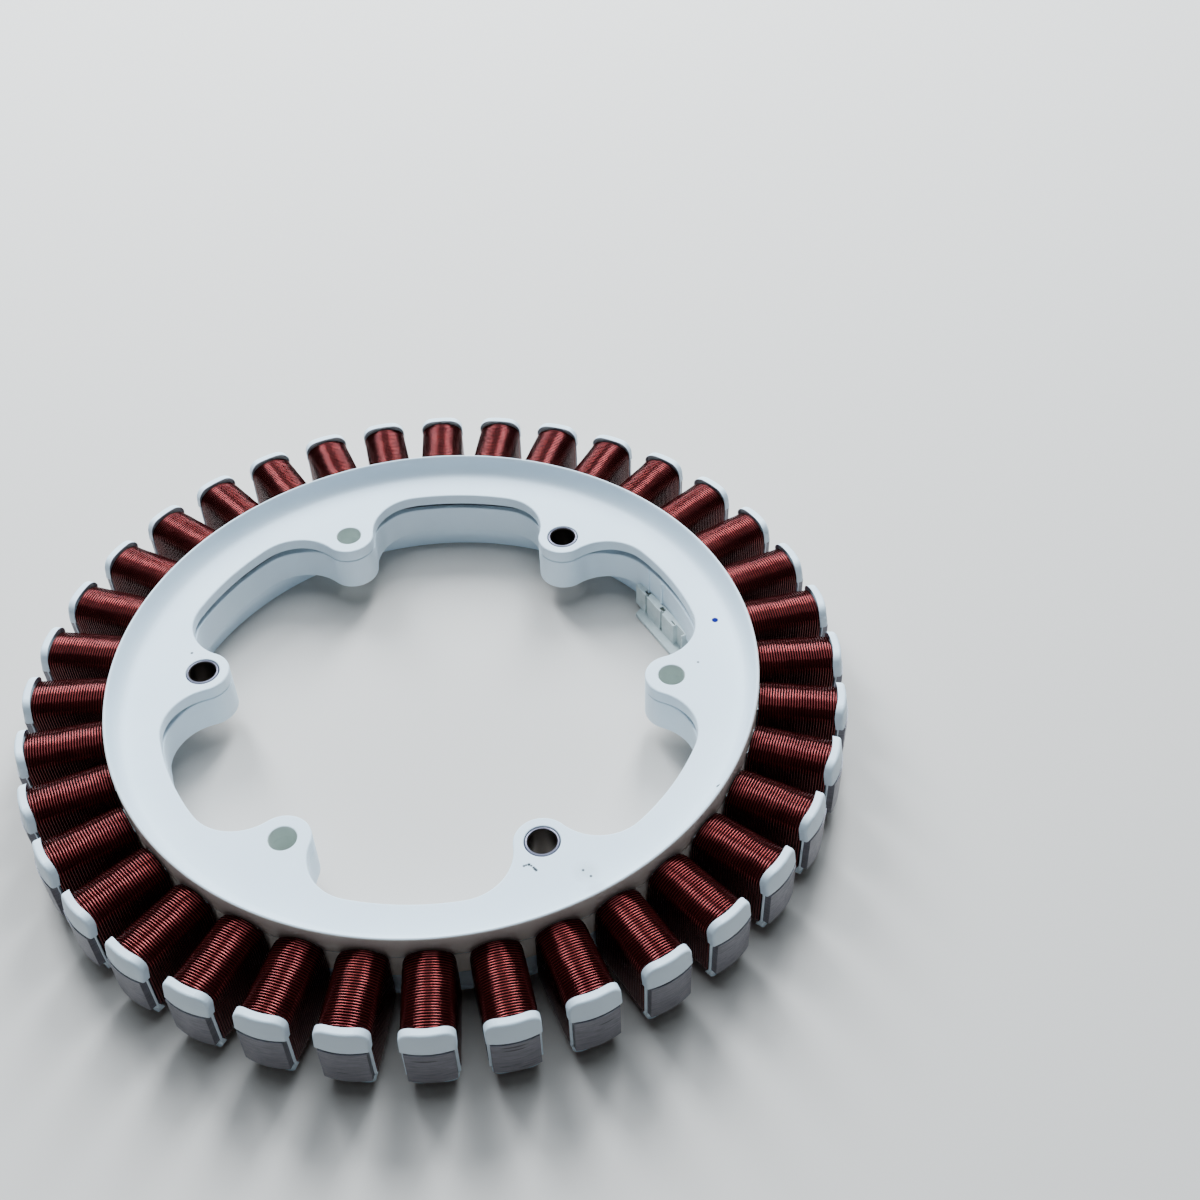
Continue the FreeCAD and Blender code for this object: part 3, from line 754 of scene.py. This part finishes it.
for vert in bm.verts:
    phase = (vert.co.x - COIL_START) / row_pitch % 1.0
    off_crest = min(abs(phase - 0.5), 0.499) * row_pitch
    depth = min(wire_r - math.sqrt(wire_r ** 2 - off_crest ** 2), ROW_DEPTH)
    vert[valley_shade_layer] = min(depth / ROW_DEPTH, 1.0) ** 0.6
    into = max(0.0, 1 - (vert.co.x - COIL_START) / START_TAPER[1])
    out = max(0.0, 1 - (COIL_END - vert.co.x) / END_TAPER[1])
    depth += START_TAPER[0] * into ** 2 + END_TAPER[0] * out ** 2
    vert.co.y *= 1 - depth / COIL_HALF
    vert.co.z = middle_z + (vert.co.z - middle_z) * (1 - depth / half_z)
ends = []
for place in (COIL_START, COIL_END):
    mouth = [edge for edge in bm.edges if edge.is_boundary
             and all(abs(end.co.x - place) < 0.01 for end in edge.verts)]
    made = bmesh.ops.extrude_edge_only(bm, edges=mouth)["geom"]
    for vert in verts_of(made):
        vert.co.y *= END_SHRINK[0]
        vert.co.z = middle_z + (vert.co.z - middle_z) * END_SHRINK[1]
    ends += [edge for edge in edges_of(made) if edge.is_boundary]
bmesh.ops.bridge_loops(bm, edges=ends)
sleeve = bpy.data.meshes.new("sleeve")
bm.to_mesh(sleeve)
bm.free()
for index in range(TEETH):
    bm = bmesh.new()
    bm.from_mesh(sleeve)
    for vert in bm.verts:
        seed = Vector((vert.co.x * 0.16, vert.co.z * 0.12, index * 7.3 + vert.co.y * 0.09))
        inner = 0.15 if abs(vert.co.y) < 5.6 and abs(vert.co.z - middle_z) < 10.5 else 1.0
        vert.co.x += WANDER * noise.noise(seed) * inner
        puff = 1 + BULGE * noise.noise(seed * 1.7 + Vector((3.1, 0, 0))) * inner
        vert.co.y *= puff
        vert.co.z = middle_z + (vert.co.z - middle_z) * puff
    bmesh.ops.rotate(bm, cent=ORIGIN, matrix=turned(TOOTH_TURN + PITCH * index), verts=bm.verts)
    finish_piece("winding_%02d" % (index + 1), bm, winding,
                 ["coil_%02d" % (index + 1)], 60.0)

# The phase wires: three enamelled wires that run round side by side under the floor, behind
# the tabs, and join the coils.
PHASE_WIRE_RINGS = (97.4, 98.2, 99.0)
PHASE_WIRE_HEIGHT = 5.35
PHASE_WIRE_R = 0.4
bm = bmesh.new()
for radius in PHASE_WIRE_RINGS:
    place = Matrix.Translation((radius, 0, PHASE_WIRE_HEIGHT)) @ \
        Matrix.Rotation(math.pi / 2, 4, "X")
    made = bmesh.ops.create_circle(bm, cap_ends=False, segments=8, radius=PHASE_WIRE_R,
                                   matrix=place)
    geom = made["verts"] + list({edge for vert in made["verts"] for edge in vert.link_edges})
    bmesh.ops.spin(bm, geom=geom, cent=ORIGIN, axis=AXIS_Z, angle=2 * math.pi, steps=108,
                   use_merge=True, use_duplicate=False)
finish_piece("phase_wires", bm, winding, ["crossover_wires"])

# The terminal block: a moulded part that fills the gap in the skirt. Its front stands in the
# bore on a lip, with two narrow grooves and a wide keyway, and three shafts for the contacts.
HOUSING_FRONT = 85.0
HOUSING_BACK = 93.0
HOUSING_HALF = 15.0
HOUSING_TOP = 10.4
HOUSING_EDGE = 0.3
WALL_THICK = 2.9
SEAT_FRONT = 87.8
SEAT_TOP = 5.75
LIP_FRONT = 82.0
LIP_HEIGHT = 1.6
LIP_END = 10.6
# Each groove: its middle, its width and its depth.
GROOVES = ((8.3, 1.3, 1.1), (-1.5, 1.3, 1.1), (-11.9, 5.2, 1.6))
SHAFTS = (9.5, -0.3, -7.9)
SHAFT_HALF = 1.2
SHAFT_FRONT = 85.8
SHAFT_BACKS = (87.3, 87.3, 86.3)
housing_turn = turned(HOUSING_ANGLE)
block_plastic, tree, shader, vector = new_material("block_plastic", (0.56, 0.62, 0.61), 0.42)
mottle = add_noise(tree, vector, 0.4, 5.0, 0.6)
tree.links.new(add_ramp(tree, mottle, [(0.3, (0.50, 0.56, 0.55)), (0.7, (0.62, 0.68, 0.67))]),
               shader.inputs["Base Color"])
add_bump(tree, shader, add_noise(tree, vector, 3.0, 2.0), 0.02, 0.4)

bm = bmesh.new()
front_back = HOUSING_FRONT + WALL_THICK
outline = [(front_back, HOUSING_HALF), (HOUSING_FRONT, HOUSING_HALF)]
for place, width, depth in GROOVES:
    outline += [(HOUSING_FRONT, place + width / 2), (HOUSING_FRONT + depth, place + width / 2),
                (HOUSING_FRONT + depth, place - width / 2), (HOUSING_FRONT, place - width / 2)]
outline += [(HOUSING_FRONT, -HOUSING_HALF), (front_back, -HOUSING_HALF)]
draw_closed(bm, [(x, y, LIP_HEIGHT) for x, y in outline])
for place, back in zip(SHAFTS, SHAFT_BACKS):
    draw_closed(bm, [(SHAFT_FRONT, place - SHAFT_HALF, LIP_HEIGHT),
                     (back, place - SHAFT_HALF, LIP_HEIGHT),
                     (back, place + SHAFT_HALF, LIP_HEIGHT),
                     (SHAFT_FRONT, place + SHAFT_HALF, LIP_HEIGHT)])
fill_flat(bm, bm.edges[:], -1)
draw_out(bm, bm.faces[:], (0, 0, HOUSING_TOP - LIP_HEIGHT))
for front, low, high in ((LIP_FRONT, 0.0, LIP_HEIGHT), (SEAT_FRONT, LIP_HEIGHT, SEAT_TOP)):
    before = drawn_so_far(bm)
    add_box(bm, ((front + HOUSING_BACK) / 2, 0, (low + high) / 2),
            (HOUSING_BACK - front, 2 * HOUSING_HALF, high - low))
    for vert in verts_of(parts_since(bm, before)):
        if vert.co.x < HOUSING_FRONT - 1:
            vert.co.y = min(vert.co.y, LIP_END)
    break_edges(bm, edges_of(parts_since(bm, before)), HOUSING_EDGE, 2)
bmesh.ops.rotate(bm, cent=ORIGIN, matrix=housing_turn, verts=bm.verts)
finish_piece("terminal_block", bm, block_plastic, ["terminal_housing"])

# The contacts: three flat tabs of brass sheet, stamped with broken edges. Each is pushed down
# into its own shaft of the block, until its end lies below the block's top.
CONTACT_R = 86.05
CONTACT_MIDDLE = 6.0
CONTACT_SIZE = (0.46, 2.2, 7.0)
CONTACT_EDGE = 0.12
stamped_brass, tree, shader, vector = new_material("stamped_brass", (0.62, 0.44, 0.16), 0.3)
shader.inputs["Metallic"].default_value = 1.0
tarnish = add_noise(tree, vector, 1.2, 5.0)
tree.links.new(add_ramp(tree, tarnish, [(0.3, (0.50, 0.34, 0.12)), (0.7, (0.70, 0.52, 0.22))]),
               shader.inputs["Base Color"])
for name, place in zip("uvw", SHAFTS):
    bm = bmesh.new()
    add_box(bm, (CONTACT_R, place, CONTACT_MIDDLE), CONTACT_SIZE)
    break_edges(bm, bm.edges[:], CONTACT_EDGE, 2)
    bmesh.ops.rotate(bm, cent=ORIGIN, matrix=housing_turn, verts=bm.verts)
    finish_piece("contact_" + name, bm, stamped_brass, ["terminal_" + name])

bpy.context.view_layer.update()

# Studio
floor_bm = bmesh.new()
bmesh.ops.create_grid(floor_bm, x_segments=1, y_segments=1, size=3.0)
floor_mesh = bpy.data.meshes.new("floor")
floor_bm.to_mesh(floor_mesh)
floor_bm.free()
floor = bpy.data.objects.new("floor", floor_mesh)
bpy.context.collection.objects.link(floor)
paper = new_material("pale_floor", (0.61, 0.555, 0.51), 0.85)[0]
floor_mesh.materials.append(paper)

CAMERA_PLACE = (0.068697, -0.323346, 0.378480)
CAMERA_LENS = 44.535
azimuth = math.radians(2.65)
elevation = math.radians(44.56)
roll = math.radians(-1.57)
back = Vector((math.sin(azimuth) * math.cos(elevation), -math.cos(azimuth) * math.cos(elevation),
               math.sin(elevation)))
right = Vector((math.cos(azimuth), math.sin(azimuth), 0))
up = back.cross(right)
camera_x = math.cos(roll) * right + math.sin(roll) * up
camera_y = -math.sin(roll) * right + math.cos(roll) * up
camera_data = bpy.data.cameras.new("camera")
camera_data.sensor_width = 36.0
camera_data.lens = CAMERA_LENS
camera = bpy.data.objects.new("camera", camera_data)
bpy.context.collection.objects.link(camera)
camera.matrix_world = Matrix.Translation(CAMERA_PLACE) @ \
    Matrix((camera_x, camera_y, back)).transposed().to_4x4()
bpy.context.scene.camera = camera

world = bpy.data.worlds.new("studio")
world.use_nodes = True
world.node_tree.nodes["Background"].inputs["Color"].default_value = (0.90, 0.95, 1.0, 1)
world.node_tree.nodes["Background"].inputs["Strength"].default_value = 0.05
bpy.context.scene.world = world


def soft_light(name, place, width, depth, power, color):
    """A soft box at a place, turned towards the part."""
    data = bpy.data.lights.new(name, "AREA")
    data.shape = "RECTANGLE"
    data.size = width
    data.size_y = depth
    data.energy = power
    data.color = color
    lamp = bpy.data.objects.new(name, data)
    lamp.location = place
    lamp.rotation_euler = Vector(place).to_track_quat("Z", "Y").to_euler()
    bpy.context.collection.objects.link(lamp)


soft_light("top_box", (0.0, 0.35, 1.4), 1.1, 1.0, 19, (0.74, 0.88, 1.0))
soft_light("back_left_box", (-0.62, 0.95, 0.95), 0.34, 0.85, 36, (0.80, 0.91, 1.0))
soft_light("back_right_box", (0.27, 1.02, 0.95), 0.34, 0.85, 36, (0.80, 0.91, 1.0))
